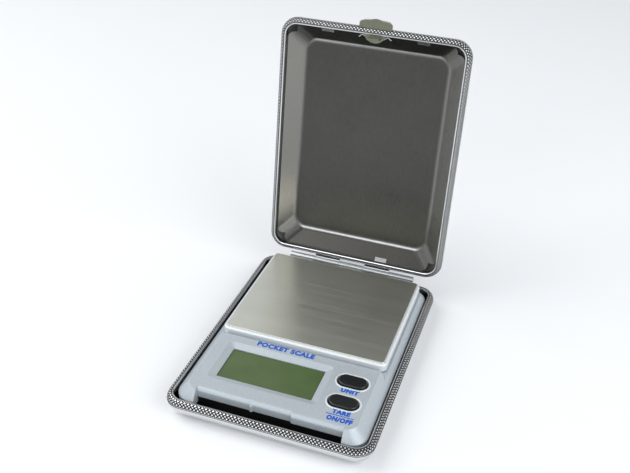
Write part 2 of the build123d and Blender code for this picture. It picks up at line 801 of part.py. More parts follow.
# ------------------------------------------------------------------ display
with BuildPart() as display_glass:
    with BuildSketch(Plane.XY.offset(glass_low)):
        with Locations((window_x, window_y)):
            RectangleRounded(glass_width, glass_height, glass_corner)
    extrude(amount=glass_thickness)
save(display_glass, "display_glass")

with BuildPart() as display_reflector:
    with BuildSketch(Plane.XY.offset(glass_low - reflector_thickness)):
        with Locations((window_x, window_y + strip_depth / 2)):
            Rectangle(glass_width, glass_height - strip_depth - 2 * assembly_gap)
    extrude(amount=reflector_thickness)
save(display_reflector, "display_reflector")

with BuildPart() as display_frame:
    with BuildSketch(Plane.XY.offset(board_top)):
        with Locations((window_x, window_y)):
            outer_margin = 2 * (frame_wall + assembly_gap)
            RectangleRounded(glass_width + outer_margin, glass_height + outer_margin, frame_wall)
            Rectangle(glass_width + 2 * assembly_gap, glass_height + 2 * assembly_gap, mode=Mode.SUBTRACT)
    extrude(amount=glass_top - board_top)
save(display_frame, "display_frame")

with BuildPart() as zebra_strip:
    with BuildSketch(Plane.XY.offset(board_top)):
        with Locations((window_x, window_y - glass_height / 2 + strip_depth / 2)):
            Rectangle(glass_width - 2 * strip_inset, strip_depth - 4 * assembly_gap)
    extrude(amount=glass_low - board_top)
save(zebra_strip, "zebra_strip")

# ------------------------------------------------------------------ keys and their switches
def make_key(key_y):
    """Stadium key cap with a flange that holds it under the deck."""
    with BuildPart() as key:
        with BuildSketch(Plane.XY.offset(flange_top)):
            with Locations((key_x, key_y)):
                SlotOverall(key_length, key_width)
        extrude(amount=key_top - flange_top)
        fillet(key.faces().sort_by(Axis.Z)[-1].edges(), key_edge_round)
        with BuildSketch(Plane.XY.offset(flange_low)):
            with Locations((key_x, key_y)):
                SlotOverall(key_length + 2 * flange_margin, key_width + 2 * flange_margin)
        extrude(amount=flange_thickness)
        with BuildSketch(Plane.XY.offset(plunger_top)):
            with Locations((key_x, key_y)):
                Circle(stem_radius)
        extrude(amount=flange_low - plunger_top)
    return key


def make_plunger(key_y):
    """Switch plunger that the key's stem pushes."""
    with BuildPart() as plunger:
        with BuildSketch(Plane.XY.offset(switch_top - plunger_tuck)):
            with Locations((key_x, key_y)):
                Circle(plunger_radius)
        extrude(amount=plunger_top - switch_top + plunger_tuck)
    return plunger


for key_name, key_y in (("unit", unit_key_y), ("tare", tare_key_y)):
    save(make_key(key_y), f"{key_name}_key")
    save(make_plunger(key_y), f"{key_name}_plunger")

with BuildPart() as key_switches:
    with BuildSketch(Plane.XY.offset(board_top)):
        with Locations((key_x, unit_key_y), (key_x, tare_key_y)):
            Rectangle(switch_size, switch_size)
    extrude(amount=switch_top - board_top)
    with BuildSketch(Plane.XY.offset(switch_top - plunger_tuck - key_travel - assembly_gap)):
        with Locations((key_x, unit_key_y), (key_x, tare_key_y)):
            Circle(plunger_radius + running_clearance)
    extrude(amount=2 * key_travel + plunger_tuck, mode=Mode.SUBTRACT)
save(key_switches, "key_switches")

# ------------------------------------------------------------------ main board
with BuildPart() as main_board:
    with BuildSketch(Plane.XY.offset(board_low)):
        with Locations(((board_left + board_right) / 2, (board_front + board_back) / 2)):
            Rectangle(board_right - board_left, board_back - board_front)
        with Locations(*post_spots):
            Circle(board_screw_radius + assembly_gap, mode=Mode.SUBTRACT)
    extrude(amount=board_thickness)
save(main_board, "main_board")

with BuildPart() as board_screws:
    with BuildSketch(Plane.XY.offset(board_low - board_screw_head_height)):
        with Locations(*post_spots):
            Circle(board_screw_head)
    extrude(amount=board_screw_head_height)
    with BuildSketch(Plane.XY.offset(board_low)):
        with Locations(*post_spots):
            Circle(board_screw_radius)
    extrude(amount=board_thickness + housing_wall)
save(board_screws, "board_screws")

with BuildPart() as chip_blob:
    with BuildSketch(Plane.XY.offset(board_top)):
        with Locations((window_x, window_y)):
            Circle(chip_radius)
    extrude(amount=chip_height)
    fillet(chip_blob.faces().sort_by(Axis.Z)[-1].edges(), chip_round)
save(chip_blob, "chip_blob")

with BuildPart() as board_parts:
    with BuildSketch(Plane.XY.offset(board_top)):
        with Locations((key_x - chip_part_pitch, board_back - 2 * chip_part_length)):
            with GridLocations(chip_part_pitch, 0, 4, 1):
                Rectangle(chip_part_length, chip_part_width)
        with Locations((key_x - 2 * chip_part_pitch, key_middle_y)):
            with GridLocations(0, 2 * chip_part_width, 1, 2):
                Rectangle(chip_part_length, chip_part_width)
    extrude(amount=chip_part_height)
save(board_parts, "board_parts")

# ------------------------------------------------------------------ power
with BuildPart() as coin_cells:
    with BuildSketch(Plane.XY.offset(coin_low)):
        with Locations(*[(x, coin_cell_y) for x in coin_cell_x]):
            Circle(cell_radius)
    extrude(amount=cell_thickness)
    fillet(coin_cells.edges().filter_by(GeomType.CIRCLE), coin_edge_round)
save(coin_cells, "coin_cells")

with BuildPart() as battery_contacts:
    with BuildSketch(Plane.XY.offset(coin_low + cell_thickness)):
        with Locations(*[(x, coin_cell_y) for x in coin_cell_x]):
            Rectangle(contact_width, contact_length)
    extrude(amount=contact_sheet)
    with BuildSketch(Plane.XY.offset(coin_low + cell_thickness)):
        with Locations(*[(x, coin_cell_y + contact_foot_y) for x in coin_cell_x]):
            Rectangle(contact_width, contact_foot)
    extrude(amount=board_low - coin_low - cell_thickness)
save(battery_contacts, "battery_contacts")

# ------------------------------------------------------------------ load cell
with BuildPart() as load_cell:
    with BuildSketch(Plane.XY.offset(cell_low)):
        with Locations((0, platform_y)):
            Rectangle(cell_width, cell_length)
    extrude(amount=cell_height)
    cell_middle = cell_low + cell_height / 2
    with BuildSketch(side_plane(base_plane, -cell_width / 2)):
        with Locations((platform_y, cell_middle)):
            with GridLocations(cell_bore_spacing, 0, 2, 1):
                Circle(cell_bore_radius)
            Rectangle(cell_bore_spacing, cell_slot_height)
    extrude(amount=cell_width, mode=Mode.SUBTRACT)
    with BuildSketch(Plane.XY.offset(cell_low)):
        for end_y in (cell_fixed_y, cell_free_y):
            with Locations((0, end_y - cell_screw_spacing / 2), (0, end_y + cell_screw_spacing / 2)):
                Circle(cell_screw_radius + (running_clearance if end_y == cell_free_y else 0))
    extrude(amount=cell_height, mode=Mode.SUBTRACT)
save(load_cell, "load_cell")

with BuildPart() as gauge_coating:
    with BuildSketch(Plane.XY.offset(cell_top)):
        with Locations((0, platform_y)):
            RectangleRounded(gauge_coat_width, gauge_coat_length, gauge_coat_corner)
    extrude(amount=gauge_coat_height)
save(gauge_coating, "gauge_coating")

cell_head_low = module_low + assembly_gap
with BuildPart() as load_cell_screws:
    spots = [(0, cell_fixed_y - cell_screw_spacing / 2), (0, cell_fixed_y + cell_screw_spacing / 2)]
    with BuildSketch(Plane.XY.offset(cell_head_low)):
        with Locations(*spots):
            Circle(cell_head_radius)
    extrude(amount=cell_head_height - assembly_gap)
    with BuildSketch(Plane.XY.offset(module_low + cell_head_height)):
        with Locations(*spots):
            Circle(cell_screw_radius)
    extrude(amount=cell_top - thread_inset - module_low - cell_head_height)
save(load_cell_screws, "load_cell_screws")

with BuildPart() as overload_stop:
    with BuildSketch(Plane.XY.offset(floor_top)):
        with Locations((0, cell_back - 2 * stop_radius)):
            Circle(stop_radius)
    extrude(amount=cell_low - platform_travel - stop_clearance - floor_top)
save(overload_stop, "overload_stop")

lead_height = board_low - lead_drop
lead_end_y = board_back - lead_setback
with BuildPart() as load_cell_leads:
    for number in range(lead_count):
        x = cell_width / 2 + lead_run + number * lead_pitch
        start_y = platform_y + number * lead_pitch
        with BuildLine() as lead_path:
            FilletPolyline(
                (cell_width / 2, start_y, lead_height),
                (x, start_y, lead_height),
                (x, lead_end_y, lead_height),
                (x, lead_end_y, board_low),
                radius=lead_bend,
            )
        with BuildSketch(Plane(origin=lead_path.line @ 0, z_dir=lead_path.line % 0)):
            Circle(lead_radius)
        sweep(path=lead_path.line)
save(load_cell_leads, "load_cell_leads")

# ------------------------------------------------------------------ platform
skirt_low = shoulder_height + platform_travel + skirt_clearance
platform_under = platform_top - platform_wall
with BuildPart() as platform_carrier:
    with BuildSketch(Plane.XY.offset(skirt_low)):
        with Locations((0, platform_y)):
            RectangleRounded(platform_width, platform_length, platform_corner)
    extrude(amount=platform_top - skirt_low)
    fillet(platform_carrier.faces().sort_by(Axis.Z)[-1].edges(), platform_edge_round)
    with BuildSketch(Plane.XY.offset(skirt_low)):
        with Locations((0, platform_y)):
            RectangleRounded(
                platform_width - 2 * platform_wall,
                platform_length - 2 * platform_wall,
                platform_corner - platform_wall,
            )
    extrude(amount=platform_under - skirt_low, mode=Mode.SUBTRACT)
    with BuildSketch(Plane.XY.offset(cell_top)):
        with Locations((0, cell_free_y)):
            Rectangle(boss_size, boss_size)
    extrude(amount=platform_under - cell_top)
    with Locations(Plane.XY.offset(platform_top)):
        with Locations(
            (0, cell_free_y - cell_screw_spacing / 2), (0, cell_free_y + cell_screw_spacing / 2)
        ):
            CounterBoreHole(
                cell_screw_radius,
                cell_head_radius + screw_head_clearance,
                cell_head_height + assembly_gap,
                depth=2 * half_depth,
            )
save(platform_carrier, "platform_carrier")

with BuildPart() as platform_screws:
    spots = [(0, cell_free_y - cell_screw_spacing / 2), (0, cell_free_y + cell_screw_spacing / 2)]
    head_low = platform_top - assembly_gap - cell_head_height
    with BuildSketch(Plane.XY.offset(head_low)):
        with Locations(*spots):
            Circle(cell_head_radius)
    extrude(amount=cell_head_height)
    with BuildSketch(Plane.XY.offset(cell_low + thread_inset)):
        with Locations(*spots):
            Circle(cell_screw_radius)
    extrude(amount=head_low - cell_low - thread_inset)
save(platform_screws, "platform_screws")

with BuildPart() as platform_plate:
    with BuildSketch(Plane.XY.offset(platform_top)):
        with Locations((0, platform_y)):
            RectangleRounded(
                platform_width - 2 * plate_margin, platform_length - 2 * plate_margin, plate_corner
            )
    extrude(amount=plate_thickness)
    fillet(platform_plate.faces().sort_by(Axis.Z)[-1].edges(), plate_edge)
save(platform_plate, "platform_plate")
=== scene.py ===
"""Looks of the pocket gram scale: knurled case rims, printed labels, and a finish for every piece.

Lengths are in metres unless a name says otherwise.  The scale stands on its underside with its lid open:
X runs to the right, Y towards the lid's hinge, Z up.
"""
import json
import math

import bpy
from bpy.props import FloatProperty, FloatVectorProperty, PointerProperty, StringProperty
from mathutils import Matrix, Vector


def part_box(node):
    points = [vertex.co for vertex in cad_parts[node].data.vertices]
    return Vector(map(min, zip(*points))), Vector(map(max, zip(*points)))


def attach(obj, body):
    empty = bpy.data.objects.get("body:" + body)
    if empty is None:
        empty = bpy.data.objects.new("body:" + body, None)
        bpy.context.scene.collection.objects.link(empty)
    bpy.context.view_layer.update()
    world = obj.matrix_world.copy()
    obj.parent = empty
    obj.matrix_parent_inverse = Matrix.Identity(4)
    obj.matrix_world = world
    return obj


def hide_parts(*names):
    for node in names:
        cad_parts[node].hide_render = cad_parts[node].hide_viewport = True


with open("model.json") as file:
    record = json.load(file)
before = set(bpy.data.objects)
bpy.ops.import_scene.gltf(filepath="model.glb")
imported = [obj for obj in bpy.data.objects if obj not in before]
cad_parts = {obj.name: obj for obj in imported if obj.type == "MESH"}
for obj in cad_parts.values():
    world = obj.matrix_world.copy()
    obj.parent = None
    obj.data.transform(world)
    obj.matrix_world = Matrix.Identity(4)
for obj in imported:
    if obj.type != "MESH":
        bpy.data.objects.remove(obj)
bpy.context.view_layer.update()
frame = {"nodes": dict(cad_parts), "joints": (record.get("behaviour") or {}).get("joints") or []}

bl_info = {
    "name": "Pocket gram scale",
    "version": (1, 0, 0),
    "blender": (4, 5, 0),
    "location": "3D View > Sidebar > Gram scale",
    "description": "Builds the looks of a pocket gram scale in a hinged, knurled metal case",
    "category": "Add Mesh",
}

MM = 0.001
TINY = 0.01 * MM  # two places that are closer than this count as one
QUARTER_ARC_HANDLE = 0.5523  # handle of a Bezier quarter circle, as a share of its radius
CALM, STRONG = 0.3, 0.7  # a noise pattern's values mostly lie between these two
HIGHLIGHT_LEAN = math.radians(26)  # the painted highlight on the lid liner's bends is brightest where they lean this far


# ------------------------------------------------------------------ places read from the frame
def middle(node):
    """Middle of a node's box."""
    low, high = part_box(node)
    return (low + high) / 2


hinge = next(joint for joint in frame["joints"] if joint["name"] == "lid_hinge")
hinge_place = Vector(hinge["pos_m"])
lid_opening = math.radians(hinge["range_deg"][1])
rim_low, rim_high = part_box("base_rim")
deck_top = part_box("housing_top")[1].z


def lid_place():
    """Takes a piece drawn in the base half to the same place in the open lid."""
    seam = hinge_place.z
    shut = Matrix.Translation((0, 0, 2 * seam)) @ Matrix.Rotation(math.pi, 4, "X")
    swing = Matrix.Rotation(-lid_opening, 4, "X")
    return Matrix.Translation(hinge_place) @ swing @ Matrix.Translation(-hinge_place) @ shut


# ------------------------------------------------------------------ sizes and colours a user would change
def length_size(name, description, millimetres):
    return FloatProperty(
        name=name, description=description, default=millimetres * MM, unit="LENGTH", precision=5
    )


def angle_size(name, description, radians):
    return FloatProperty(name=name, description=description, default=radians, subtype="ANGLE")


def plain_number(name, description, value):
    return FloatProperty(name=name, description=description, default=value)


def hex_to_linear(code):
    """Linear RGBA from an sRGB hex value such as 'b4bcc4'."""
    channels = [int(code[i:i + 2], 16) / 255 for i in (0, 2, 4)]
    return tuple(c / 12.92 if c <= 0.04045 else ((c + 0.055) / 1.055) ** 2.4 for c in channels) + (1.0,)


def finish_colour(name, description, code):
    return FloatVectorProperty(
        name=name, description=description, default=hex_to_linear(code), subtype="COLOR",
        size=4, min=0.0, max=1.0,
    )


class RimSizes(bpy.types.PropertyGroup):
    """Sizes of the knurled rims."""

    corner: length_size("Corner", "Plan radius of the rim's outer corners", 7.0)
    width: length_size("Width", "Width of the rim bar", 2.6)
    outer_round: length_size("Outer round", "Radius of the edge beside the seam, outside", 1.75)
    inner_round: length_size("Inner round", "Radius of the edge beside the seam, inside", 0.35)
    pitch: length_size("Knurl pitch", "Distance from one knurl point to the next", 1.35)
    groove: length_size("Knurl groove", "Width of the groove between two knurl points", 0.26)
    flank: length_size("Knurl flank", "Width of a knurl point's sloping side", 0.07)
    depth: length_size("Knurl depth", "Height of the knurl points above the grooves", 0.14)
    slot_gap: length_size("Slot gap", "Room round the clasp's plate in its slot", 0.1)
    clasp_sheet: length_size("Clasp sheet", "Thickness of the clasp's plate", 0.6)
    clasp_lift: length_size("Clasp lift", "Clasp's plate above the rim bar's lower edge", 0.25)


class LabelSizes(bpy.types.PropertyGroup):
    """Words, sizes and places of the printed labels."""

    title: StringProperty(name="Title", description="Word over the display", default="POCKET SCALE")
    first_key: StringProperty(name="First key", description="Word under the first key", default="UNIT")
    second_key: StringProperty(name="Second key", description="Word under the second key", default="TARE")
    switch: StringProperty(name="Switch", description="Words under the line", default="ON/OFF")
    title_size: length_size("Title height", "Size of the title's letters", 3.1)
    title_width: length_size("Title width", "Length of the title", 22.3)
    title_rise: length_size("Title rise", "Title above the middle of the display", 12.65)
    title_shift: length_size("Title shift", "Title right of the display's middle", 0.7)
    word_size: length_size("Word height", "Size of the words under the keys", 2.7)
    unit_width: length_size("First word width", "Length of the first key's word", 6.5)
    tare_width: length_size("Second word width", "Length of the second key's word", 6.4)
    switch_width: length_size("Switch width", "Length of the words under the line", 9.1)
    word_drop: length_size("Word drop", "A word below its key's flange", 1.25)
    line_drop: length_size("Line drop", "Line below the second key's flange", 2.85)
    switch_drop: length_size("Switch drop", "Switch words below the second key's flange", 4.75)
    line_length: length_size("Line length", "Length of the line", 9.9)
    line_width: length_size("Line width", "Width of the line", 0.35)
    shift: length_size("Shift", "Words right of the keys' middle, from one row to the next", 0.4)
    bold: length_size("Bold", "How much each letter's stroke is thickened", 0.2)
    letter_gap: plain_number("Letter gap", "Step from letter to letter, over the font's own", 1.15)
    ink: length_size("Ink", "Thickness of the printed ink", 0.03)


class LipSizes(bpy.types.PropertyGroup):
    """Sizes of the moulded lip round each key."""

    inset: length_size("Inset", "Lip's middle line inside the key's flange", 0.1)
    radius: length_size("Radius", "Half the lip's width", 0.35)
    rise: length_size("Rise", "Lip above the deck", 0.2)


class FinishColours(bpy.types.PropertyGroup):
    """Colours of the finishes."""

    steel: finish_colour("Steel", "Polished plated steel", "d8d9da")
    knurl: finish_colour("Knurl points", "Plated steel on the knurl points", "f4f5f6")
    # painted shade: the colour that darkens the knurl grooves
    knurl_groove_shade: finish_colour("Knurl grooves", "Grime in the grooves", "0e100f")
    plate: finish_colour("Plate", "Brushed stainless weighing plate", "dfe0d5")
    # painted shade: far darker than stainless steel, standing in for the dark surroundings that the liner
    # mirrors
    liner: finish_colour("Liner", "Brushed stainless lid liner", "52514e")
    housing: finish_colour("Housing", "Silver-filled ABS", "aeb6bc")
    carrier: finish_colour("Carrier", "Pale silver ABS", "dbe0e4")
    clasp: finish_colour("Clasp", "Brushed steel of the clasp's plate", "7f8170")
    # painted shade: the black laid inside the base dish where it lies in shadow; also the keeper's blackened
    # steel
    black_and_painted_shade: finish_colour("Lacquer", "Black lacquer inside the case", "060607")
    # painted light: a light grey laid inside the lid, so that its shaded corners show mid-grey
    painted_light_grey: finish_colour("Primer", "Grey primer inside the lid", "8c8e8c")
    black: finish_colour("Black plastic", "Moulded black ABS", "0d0e0f")
    key: finish_colour("Keys", "Black key caps", "101112")
    display: finish_colour("Display", "Liquid-crystal cell", "4b5f37")
    ink: finish_colour("Ink", "Printed blue ink", "0b52b4")
    floor: finish_colour("Floor", "Pale table", "eef0f2")


class StageSizes(bpy.types.PropertyGroup):
    """Camera and light."""

    azimuth: angle_size("Azimuth", "Camera's turn round the scale", 0.31759)
    elevation: angle_size("Elevation", "Camera's height angle", 0.56643)
    roll: angle_size("Roll", "Camera's roll", 0.03440)
    distance: length_size("Distance", "Camera to the point it looks at", 353.65)
    lens: plain_number("Lens", "Focal length in millimetres", 49.19)
    look_at: FloatVectorProperty(
        name="Look at", description="Point in the middle of the picture",
        default=(-0.01312, 0.04056, 0.0273), subtype="TRANSLATION", precision=5,
    )
    floor_size: length_size("Floor size", "Side of the floor", 6000)
    horizon: plain_number("Horizon light", "Brightness of the studio's walls", 1.0)
    zenith: plain_number("Overhead light", "Brightness of the studio's ceiling", 0.45)
    key_power: plain_number("Key light", "Watts of the key light", 5.2)
    fill_power: plain_number("Fill light", "Watts of the fill light", 5.0)
    front_power: plain_number("Front light", "Watts of the front light", 0.7)


# ------------------------------------------------------------------ small modelling helpers
def deselect_all():
    if bpy.context.mode != "OBJECT":
        bpy.ops.object.mode_set(mode="OBJECT")
    bpy.ops.object.select_all(action="DESELECT")


def take(piece):
    """Makes one object the selected and active one."""
    deselect_all()
    piece.select_set(True)
    bpy.context.view_layer.objects.active = piece


def pick(piece, kind, test):
    """Selects the faces, edges or vertices that pass a test, and opens edit mode in that select mode."""
    take(piece)
    mesh = piece.data
    for group in (mesh.polygons, mesh.edges, mesh.vertices):
        group.foreach_set("select", [False] * len(group))
    chosen = {"FACE": mesh.polygons, "EDGE": mesh.edges, "VERT": mesh.vertices}[kind]
    for element in chosen:
        element.select = bool(test(element))
    bpy.context.tool_settings.mesh_select_mode = (kind == "VERT", kind == "EDGE", kind == "FACE")
    bpy.ops.object.mode_set(mode="EDIT")


def leave_edit():
    bpy.ops.object.mode_set(mode="OBJECT")


def apply_modifier(piece, kind, **settings):
    """Adds one modifier with its settings and applies it."""
    take(piece)
    modifier = piece.modifiers.new(kind.title(), kind)
    for name, value in settings.items():
        setattr(modifier, name, value)
    bpy.ops.object.modifier_apply(modifier=modifier.name)


def settle(piece, place=None):
    """Puts a piece's place into its mesh, so that its object is at the origin, unturned and unscaled."""
    take(piece)
    if place is not None:
        piece.matrix_world = place @ piece.matrix_world
    bpy.ops.object.transform_apply(location=True, rotation=True, scale=True)


def copy_of(piece, name):
    """A copy with a mesh of its own."""
    twin = piece.copy()
    twin.data = piece.data.copy()
    twin.name = name
    bpy.context.collection.objects.link(twin)
    return twin


def hand_over(piece, body, slot, *nodes):
    """Hangs a piece on its body's empty and hides the nodes it stands for; the slot argument is not used."""
    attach(piece, body)
    if nodes:
        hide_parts(*nodes)


# ------------------------------------------------------------------ materials
def add_node(tree, kind, values=None, links=None, stops=(), **settings):
    """Adds a node: settings are its own, values go to its inputs, links bring other nodes' outputs in, and
    stops are the places and colours of a colour ramp."""
    node = tree.nodes.new(kind)
    for name, value in settings.items():
        setattr(node, name, value)
    for name, value in (values or {}).items():
        node.inputs[name].default_value = value
    for name, output in (links or {}).items():
        tree.links.new(output, node.inputs[name])
    for index, (position, colour) in enumerate(stops):
        node.color_ramp.elements[index].position = position
        node.color_ramp.elements[index].color = colour
    return node


def new_material(name, **values):
    """An empty procedural material; values go to its shader's sockets."""
    material = bpy.data.materials.new(name)
    material.use_nodes = True
    tree = material.node_tree
    shader = tree.nodes["Principled BSDF"]
    for socket, value in values.items():
        shader.inputs[socket.replace("_", " ").title().replace("Ior", "IOR")].default_value = value
    return material, tree, shader


def grain(tree, cell_mm, detail=2.0, roughness=0.5, turn=(0.0, 0.0, 0.0)):
    """Noise whose cells have the given size along X, Y and Z, which may be turned first."""
    place = add_node(tree, "ShaderNodeTexCoord").outputs["Object"]
    repeats = [1 / (side * MM) for side in cell_mm]
    mapping = add_node(tree, "ShaderNodeMapping", {"Rotation": turn, "Scale": repeats}, {"Vector": place})
    return add_node(
        tree, "ShaderNodeTexNoise", {"Scale": 1.0, "Detail": detail, "Roughness": roughness},
        {"Vector": mapping.outputs["Vector"]},
    ).outputs["Fac"]


def shade(colour, factor):
    """The same colour, lighter or darker."""
    return tuple(min(1.0, channel * factor) for channel in colour[:3]) + (1.0,)


def drifting_colour(tree, shader, pattern, first, second):
    """Lets a finish's colour drift from one to another with a pattern."""
    blend = add_node(
        tree, "ShaderNodeValToRGB", None, {"Fac": pattern}, stops=((CALM, first), (STRONG, second))
    )
    tree.links.new(blend.outputs["Color"], shader.inputs["Base Color"])


def drifting_gloss(tree, shader, pattern, roughness, smoothest=0.9, roughest=1.12):
    """Lets a finish's roughness drift with a pattern, between two shares of its middle value."""
    span = add_node(
        tree, "ShaderNodeMapRange",
        {
            "From Min": CALM, "From Max": STRONG,
            "To Min": roughness * smoothest, "To Max": roughness * roughest,
        },
        {"Value": pattern},
    )
    tree.links.new(span.outputs["Result"], shader.inputs["Roughness"])


def engrave(tree, shader, pattern, depth_mm, strength=0.3):
    """Gives a finish a pattern's relief, of a real depth."""
    bump = add_node(
        tree, "ShaderNodeBump", {"Strength": strength, "Distance": depth_mm * MM}, {"Height": pattern}
    )
    tree.links.new(bump.outputs["Normal"], shader.inputs["Normal"])


def polished_steel(name, colour, roughness):
    """Buffed and plated steel: mirror bright, with faint cloudiness and hairline scratches from handling."""
    material, tree, shader = new_material(name, metallic=1.0)
    cloud = grain(tree, (9, 9, 9), detail=3.0)
    # real scratches are finer; these are as coarse as they need to be to show, and run askew
    scratch = grain(tree, (0.25, 6, 0.25), turn=(0.0, 0.0, 0.6))
    drifting_colour(tree, shader, cloud, shade(colour, 0.98), colour)
    drifting_gloss(tree, shader, cloud, roughness)
    engrave(tree, shader, scratch, depth_mm=0.002)
    return material


def brushed_steel(
    name, colour, line_mm, across, roughness, anisotropic, turn=(0.0, 0.0, 0.0), contrast=0.05
):
    """Stainless sheet brushed with an abrasive belt: long lines that smear a light across them.

    Real lines are a few hundredths of a millimetre wide; these are drawn coarser, so that they show."""
    material, tree, shader = new_material(name, metallic=1.0, anisotropic=anisotropic)
    lines = grain(tree, line_mm, detail=4.0, roughness=0.65, turn=turn)
    stain = grain(tree, (14, 14, 14))
    drifting_colour(tree, shader, lines, shade(colour, 1 - contrast), shade(colour, 1 + contrast))
    handled, clean = hex_to_linear("f8f8f7"), hex_to_linear("ffffff")
    patch = add_node(
        tree, "ShaderNodeValToRGB", None, {"Fac": stain}, stops=((CALM, handled), (STRONG, clean))
    )
    stained = add_node(tree, "ShaderNodeMix", {"Factor": 1.0}, data_type="RGBA", blend_type="MULTIPLY")
    tree.links.new(shader.inputs["Base Color"].links[0].from_socket, stained.inputs["A"])
    tree.links.new(patch.outputs["Color"], stained.inputs["B"])
    tree.links.new(stained.outputs["Result"], shader.inputs["Base Color"])
    drifting_gloss(tree, shader, lines, roughness, smoothest=0.85, roughest=1.2)
    direction = add_node(tree, "ShaderNodeCombineXYZ", dict(zip("XYZ", across)))
    turned = add_node(
        tree, "ShaderNodeVectorTransform", None, {"Vector": direction.outputs["Vector"]},
        vector_type="VECTOR", convert_from="OBJECT", convert_to="WORLD",
    )
    tree.links.new(turned.outputs["Vector"], shader.inputs["Tangent"])
    engrave(tree, shader, lines, depth_mm=0.003, strength=0.2)
    return material


def lay_over(tree, shader, colour, mask):
    """Lays one more colour over a finish, where a mask is 1."""
    below = shader.inputs["Base Color"].links[0].from_socket
    mixed = add_node(tree, "ShaderNodeMix", {"B": colour}, data_type="RGBA")
    tree.links.new(mask, mixed.inputs["Factor"])
    tree.links.new(below, mixed.inputs["A"])
    tree.links.new(mixed.outputs["Result"], shader.inputs["Base Color"])


def facing(tree, direction):
    """How far a face looks in a direction, from -1 to 1."""
    normal = add_node(tree, "ShaderNodeTexCoord").outputs["Normal"]
    dot = add_node(tree, "ShaderNodeVectorMath", {1: direction}, {0: normal}, operation="DOT_PRODUCT")
    return dot.outputs["Value"]


def liner_painted_light(material, panel_side, flap, bend):
    """Paints light onto the side flaps and a painted highlight along the bends."""
    tree = material.node_tree
    shader = tree.nodes["Principled BSDF"]
    sideways = add_node(
        tree, "ShaderNodeMath", None, {"Value": facing(tree, (1.0, 0.0, 0.0))}, operation="ABSOLUTE"
    ).outputs["Value"]
    flap_light_mask = add_node(
        tree, "ShaderNodeMapRange", {"From Min": 0.25, "From Max": 0.6, "To Min": 0.0, "To Max": 0.8},
        {"Value": sideways},
    )
    lay_over(tree, shader, flap, flap_light_mask.outputs["Result"])
    # a bend turns from the flat panel's direction to a flap's, about 42 degrees away
    forward = facing(tree, panel_side)
    off_brightest = add_node(
        tree, "ShaderNodeMath", {1: math.cos(HIGHLIGHT_LEAN)}, {0: forward}, operation="SUBTRACT"
    ).outputs["Value"]
    distance = add_node(
        tree, "ShaderNodeMath", None, {0: off_brightest}, operation="ABSOLUTE"
    ).outputs["Value"]
    bend_highlight_mask = add_node(
        tree, "ShaderNodeMapRange", {"From Min": 0.01, "From Max": 0.09, "To Min": 0.8, "To Max": 0.0},
        {"Value": distance},
    )
    # the painted highlight is much fainter on the side flaps' bends
    not_sideways = add_node(
        tree, "ShaderNodeMapRange", {"From Min": 0.05, "From Max": 0.3, "To Min": 1.0, "To Max": 0.12},
        {"Value": sideways},
    )
    bend_highlight_share = add_node(
        tree, "ShaderNodeMath", None, {0: bend_highlight_mask.outputs["Result"], 1: not_sideways.outputs["Result"]},
        operation="MULTIPLY",
    )
    lay_over(tree, shader, bend, bend_highlight_share.outputs["Value"])


def dish_painted_inside(name, colour, inside_tone, centre):
    """Buffed steel outside, and a matt painted tone on the faces that look towards the case's middle: black
    painted shade in the base, grey painted light in the lid.
    """
    material = polished_steel(name, colour, roughness=0.12)
    tree = material.node_tree
    shader = tree.nodes["Principled BSDF"]
    gloss = shader.inputs["Roughness"].links[0].from_socket
    place = add_node(tree, "ShaderNodeTexCoord")
    arm = add_node(
        tree, "ShaderNodeVectorMath", {1: centre}, {0: place.outputs["Object"]}, operation="SUBTRACT"
    ).outputs["Vector"]
    outward = add_node(
        tree, "ShaderNodeVectorMath", None, {0: arm, 1: place.outputs["Normal"]}, operation="DOT_PRODUCT"
    ).outputs["Value"]
    # the painted tone ends where a face turns from inwards to outwards
    turn = {"From Min": -0.2 * MM, "From Max": 0.2 * MM}
    painted_inside_mask, metal = (
        add_node(
            tree, "ShaderNodeMapRange", {**turn, "To Min": inwards, "To Max": outwards}, {"Value": outward}
        ).outputs["Result"]
        for inwards, outwards in ((1.0, 0.0), (0.0, 1.0))
    )
    lay_over(tree, shader, inside_tone, painted_inside_mask)
    tree.links.new(metal, shader.inputs["Metallic"])
    matt = add_node(tree, "ShaderNodeMix", {"A": 0.5}, {"Factor": metal, "B": gloss}, data_type="FLOAT")
    tree.links.new(matt.outputs["Result"], shader.inputs["Roughness"])
    return material


def moulded_plastic(name, colour, roughness, relief_mm=0.006, glitter=0.0):
    """Injection-moulded ABS: an even spark-eroded texture, and metal flake where it is silver-filled.

    A real mould's texture and its flake are finer; both are drawn as coarse as they need to be to show."""
    material, tree, shader = new_material(name, ior=1.53)
    fine = grain(tree, (0.35, 0.35, 0.35), detail=3.0)
    flow = grain(tree, (18, 18, 6))
    drifting_colour(tree, shader, flow, shade(colour, 0.96), shade(colour, 1.03))
    if glitter:
        flake = grain(tree, (0.22, 0.22, 0.22), detail=1.0)
        spark = add_node(
            tree, "ShaderNodeValToRGB", None, {"Fac": flake},
            stops=((0.4, shade(colour, 0.93)), (0.72, shade(colour, 1.0 + glitter))),
        )
        mixed = add_node(tree, "ShaderNodeMix", {"Factor": 0.5}, data_type="RGBA")
        tree.links.new(shader.inputs["Base Color"].links[0].from_socket, mixed.inputs["A"])
        tree.links.new(spark.outputs["Color"], mixed.inputs["B"])
        tree.links.new(mixed.outputs["Result"], shader.inputs["Base Color"])
        shader.inputs["Metallic"].default_value = 0.25
    drifting_gloss(tree, shader, fine, roughness)
    engrave(tree, shader, fine, relief_mm, strength=0.4)
    return material


